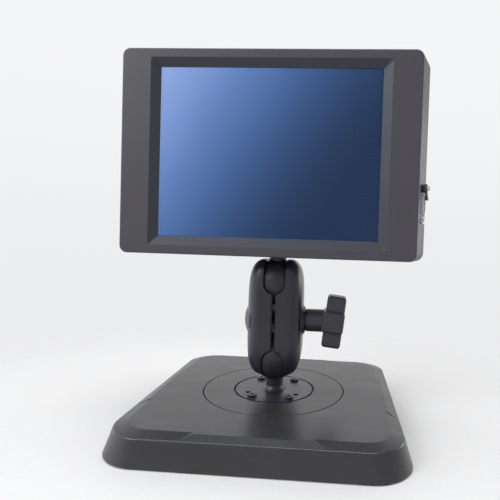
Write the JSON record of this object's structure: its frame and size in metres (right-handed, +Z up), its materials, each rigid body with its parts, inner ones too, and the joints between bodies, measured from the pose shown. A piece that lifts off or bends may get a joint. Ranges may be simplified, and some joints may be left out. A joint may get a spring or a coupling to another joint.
{
  "type": "video magnifier",
  "caption": "Desktop video magnifier: flat display on a clamped double-ball arm with a T-handle, over a square weighted base with a turntable.",
  "frame": {"origin": "centre of the square base, on the surface it stands on", "axes": "+X to the right of someone facing the screen, +Y to the rear, +Z up"},
  "size_m": [0.2463, 0.2052, 0.2868],
  "materials": {
    "base_shell": "satin, fine texture",
    "black_sheet_steel": "matt black",
    "ballast_steel": "as cut",
    "rubber_black": "matt",
    "screw_black": "black oxide",
    "acetal_white": "smooth",
    "disc_paint": "satin black",
    "cast_alloy_black": "powder coated",
    "bolt_zinc": "zinc plated",
    "spring_steel": "bright",
    "knob_plastic": "satin",
    "brass_insert": "turned",
    "bezel_plastic": "fine matt texture",
    "housing_plastic": "fine matt texture",
    "gasket_foam": "matt foam",
    "screen_glass": "glossy",
    "lcd_steel": "bright",
    "lcd_glass": "polarised film",
    "acrylic": "clear",
    "sheet_aluminium": "plain",
    "circuit_board": "solder mask",
    "chip_black": "moulded",
    "polyimide": "flex film",
    "nickel": "bright nickel",
    "panel_plastic": "matt",
    "contact_black": "moulded",
    "lever_plastic": "satin",
    "cap_pale": "gloss"
  },
  "bodies": {
    "base": {"base_cover": "base_shell", "bottom_plate": "black_sheet_steel", "ballast_plate": "ballast_steel", "rubber_feet": "rubber_black", "bottom_screws": "screw_black", "ballast_screws": "screw_black", "bearing_ring": "acetal_white"},
    "turntable": {"turntable_disc": "disc_paint", "pivot_washer": "bolt_zinc", "pivot_screw": "screw_black", "lower_ball_post": "cast_alloy_black", "plate_screws": "screw_black"},
    "lower_skin": {"lower_ball_skin": "rubber_black"},
    "arm": {"arm_half_left": "cast_alloy_black", "clamp_bolt": "bolt_zinc", "clamp_spring": "spring_steel"},
    "arm_right": {"arm_half_right": "cast_alloy_black", "thrust_washer": "bolt_zinc"},
    "knob": {"clamp_knob": "knob_plastic", "knob_insert": "brass_insert"},
    "upper_skin": {"upper_ball_skin": "rubber_black"},
    "lever": {"switch_lever": "lever_plastic", "switch_cap": "cap_pale"},
    "display": {"upper_ball_stud": "cast_alloy_black", "stud_nut": "bolt_zinc", "stud_block": "sheet_aluminium", "front_bezel": "bezel_plastic", "rear_housing": "housing_plastic", "glass_gasket": "gasket_foam", "screen_glass": "screen_glass", "lcd_frame": "lcd_steel", "lcd_cell": "lcd_glass", "light_guide": "acrylic", "backlight_tray": "lcd_steel", "chassis_plate": "sheet_aluminium", "board_standoffs": "brass_insert", "main_board": "circuit_board", "board_chips": "chip_black", "board_screws": "bolt_zinc", "inverter_board": "circuit_board", "inverter_parts": "chip_black", "ribbon_cable": "polyimide", "housing_screws": "screw_black", "socket_panel": "panel_plastic", "socket_shell": "nickel", "socket_tongue": "contact_black", "power_jack": "nickel", "power_pin": "nickel", "switch_body": "contact_black"}
  },
  "joints": [
    {"name": "turntable_turn", "type": "hinge", "parent": "base", "child": "turntable", "pos_m": [0, 0, 0.0134], "axis": [0, 0, 1], "continuous": true},
    {"name": "lower_ball_turn", "type": "hinge", "parent": "turntable", "child": "lower_skin", "pos_m": [0, 0, 0.0464], "axis": [0, 0, 1], "continuous": true},
    {"name": "arm_lean", "type": "hinge", "parent": "lower_skin", "child": "arm", "pos_m": [0, 0, 0.0464], "axis": [1, 0, 0], "range_deg": [-75, 75]},
    {"name": "half_opening", "type": "slide", "parent": "arm", "child": "arm_right", "axis": [1, 0, 0], "range_m": [0, 0.00282]},
    {"name": "knob_turn", "type": "hinge", "parent": "arm_right", "child": "knob", "pos_m": [0.048, 0, 0.0774], "axis": [1, 0, 0], "range_deg": [0, 720]},
    {"name": "display_tilt", "type": "hinge", "parent": "arm", "child": "upper_skin", "pos_m": [0, 0, 0.1084], "axis": [-1, 0, 0], "range_deg": [-75, 75]},
    {"name": "display_turn", "type": "hinge", "parent": "upper_skin", "child": "display", "pos_m": [0, 0, 0.1084], "axis": [0, 0, 1], "continuous": true},
    {"name": "lever_turn", "type": "hinge", "parent": "display", "child": "lever", "pos_m": [0.11215, -0.0215, 0.1858], "axis": [0.9187, -0.395, 0], "range_deg": [0, 90]}
  ],
  "couplings": [
    {"joint": "knob_turn", "follows": "half_opening", "rad_per_m": 4452.7}
  ]
}
